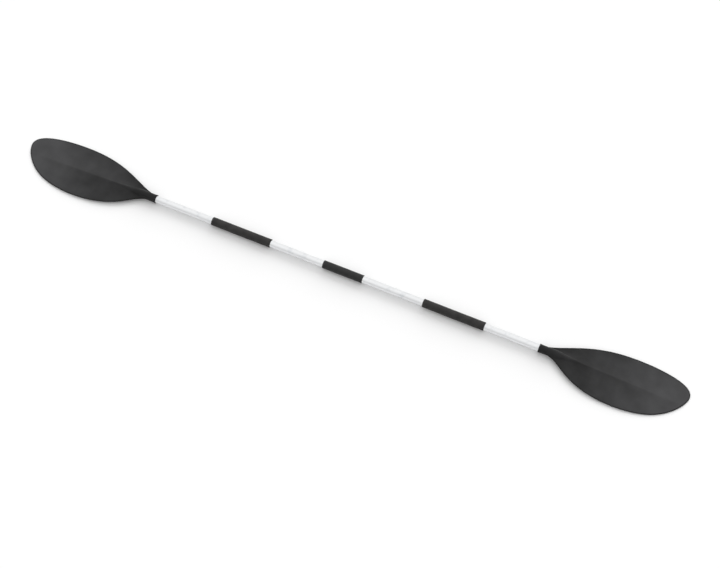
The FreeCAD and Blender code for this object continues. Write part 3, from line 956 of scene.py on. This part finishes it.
@dataclass
class Studio:
    """A pale floor, a white room that is brighter above and behind, a softbox and the camera."""

    azimuth: float = 24.10
    elevation: float = 60.56
    distance: float = 5.783
    aim: tuple[float, float, float] = (0.0699, -0.0200, 0.017)
    lens: float = 87.5
    floor_half: float = 30.0
    floor_colour: str = "#efefef"
    room_front: float = 0.52
    room_back: float = 1.02
    room_azimuth: float = 180.0          # where the room is brightest
    room_elevation: float = 72.0
    room_fade: tuple[float, float] = (-0.3, 0.95)     # cosines from there, where it is dim and bright
    key_strength: float = 1.85
    key_spread: float = 54.0             # degrees across, like a large softbox close by
    key_azimuth: float = 180.0
    key_elevation: float = 27.0

    def direction(self, azimuth: float, elevation: float) -> Vector:
        """Unit vector from the paddle towards a place round it.

        Args:
            azimuth: Degrees round from the front.
            elevation: Degrees up from the floor.

        Returns:
            The direction.
        """
        a, e = math.radians(azimuth), math.radians(elevation)
        return Vector((math.sin(a) * math.cos(e), -math.cos(a) * math.cos(e), math.sin(e)))

    def room(self) -> bpy.types.World:
        """The white room, brightest high up behind the paddle."""
        world = bpy.data.worlds.new("white_room")
        world.use_nodes = True
        background = world.node_tree.nodes["Background"]
        place = add_node(world, "ShaderNodeTexCoord").outputs["Generated"]
        bright = self.direction(self.room_azimuth, self.room_elevation)
        facing = add_node(
            world, "ShaderNodeVectorMath", {1: bright}, {0: place}, operation="DOT_PRODUCT",
        )
        dim, full = self.room_fade
        strength = add_node(
            world, "ShaderNodeMapRange",
            {"From Min": dim, "From Max": full, "To Min": self.room_front, "To Max": self.room_back},
            {"Value": facing.outputs["Value"]}, interpolation_type="SMOOTHSTEP",
        )
        connect(world, strength.outputs["Result"], background.inputs["Strength"])
        background.inputs["Color"].default_value = (1.0, 1.0, 1.0, 1.0)
        return world

    def floor(self) -> None:
        """A wide sheet of pale paper under the paddle."""
        half = self.floor_half
        corners = [(-half, -half, 0), (half, -half, 0), (half, half, 0), (-half, half, 0)]
        mesh = bpy.data.meshes.new("floor")
        mesh.from_pydata(corners, [], [(0, 1, 2, 3)])
        floor = bpy.data.objects.new("floor", mesh)
        bpy.context.scene.collection.objects.link(floor)
        material, shader, place = start_material("paper_sweep")
        fibre = add_node(material, "ShaderNodeTexNoise", {"Scale": per_metre(40.0)}, {"Vector": place})
        rough = add_node(
            material, "ShaderNodeMapRange", {"To Min": 0.85, "To Max": 0.95}, {"Value": fibre.outputs["Fac"]}
        )
        connect(material, rough.outputs["Result"], shader.inputs["Roughness"])
        shader.inputs["Base Color"].default_value = linear(self.floor_colour)
        shader.inputs["Specular IOR Level"].default_value = 0.1
        mesh.materials.append(material)

    def build(self) -> None:
        """Make the floor, the lights and the camera."""
        scene = bpy.context.scene
        scene.view_settings.view_transform = "Standard"
        scene.world = self.room()
        self.floor()

        key = bpy.data.lights.new("softbox", "SUN")
        key.energy = self.key_strength
        key.angle = math.radians(self.key_spread)
        lamp = bpy.data.objects.new("softbox", key)
        lamp.visible_glossy = False       # no reflection of it, which would burn out the tubes' edges
        towards_lamp = self.direction(self.key_azimuth, self.key_elevation)
        lamp.rotation_euler = towards_lamp.to_track_quat("Z", "Y").to_euler()
        scene.collection.objects.link(lamp)

        camera = bpy.data.objects.new("camera", bpy.data.cameras.new("camera"))
        camera.data.lens = self.lens
        towards_camera = self.direction(self.azimuth, self.elevation)
        camera.location = Vector(self.aim) + towards_camera * self.distance
        camera.rotation_euler = towards_camera.to_track_quat("Z", "Y").to_euler()
        scene.collection.objects.link(camera)
        scene.camera = camera


# ---------------------------------------------------------------- assembly


def main() -> None:
    """Build the studio and the paddle, and report each piece."""
    logging.basicConfig(level=logging.INFO, format="%(name)s: %(message)s")
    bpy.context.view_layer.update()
    Studio().build()

    nylon = MouldedNylon().build()
    aluminium = AnodisedAluminium().build()
    grip_foam = FoamRubber("foam_rubber_black_skinned", "#2e2d2d", "#3a3938").build()
    plug_foam = FoamRubber(
        "polyethylene_foam_grey_cut", "#7c7f84", "#8d9095", pore_mm=1.2, roughness=0.8
    ).build()
    sleeve_plastic = MouldedPlain("abs_black_moulded_fine_grain", "#252525", "#2f2f2f", 0.5, 1.53).build()
    rubber = MouldedPlain("nitrile_rubber_moulded", "#1d1d1d", "#262626", 0.6, 1.52).build()
    rivet_metal = PlainMetal("aluminium_rivet_set", "#cfd1d3", "#b4b7ba", 0.36).build()
    mandrel_metal = PlainMetal("steel_zinc_plated_snapped", "#9b9c9b", "#7d7d7b", 0.45).build()
    button_metal = PlainMetal("stainless_steel_turned", "#c9c9c7", "#b5b5b3", 0.22).build()
    spring_metal = PlainMetal("spring_steel_rolled", "#8b8c8e", "#6f7072", 0.34).build()

    for side, body in ((Side.LEFT, "left_half"), (Side.RIGHT, "right_half")):
        Blade(side, body).build(nylon)
        Grip(side, body).build(grip_foam)

    sides = [side.name.lower() for side in Side]
    finishes = {"joint_sleeve": sleeve_plastic, "mouth_ring": rubber}
    finishes |= {"snap_button": button_metal, "snap_spring": spring_metal}
    finishes |= {f"{side}_tube": aluminium for side in sides}
    finishes |= {f"{side}_{place}_plug": plug_foam for side in sides for place in ("inner", "outer")}
    for joint in ("sleeve", *(f"{side}_blade" for side in sides)):
        finishes[f"{joint}_rivets"] = rivet_metal
        finishes[f"{joint}_rivet_mandrels"] = mandrel_metal
    Hardware(finishes).dress()


if __name__ == "__main__":
    main()
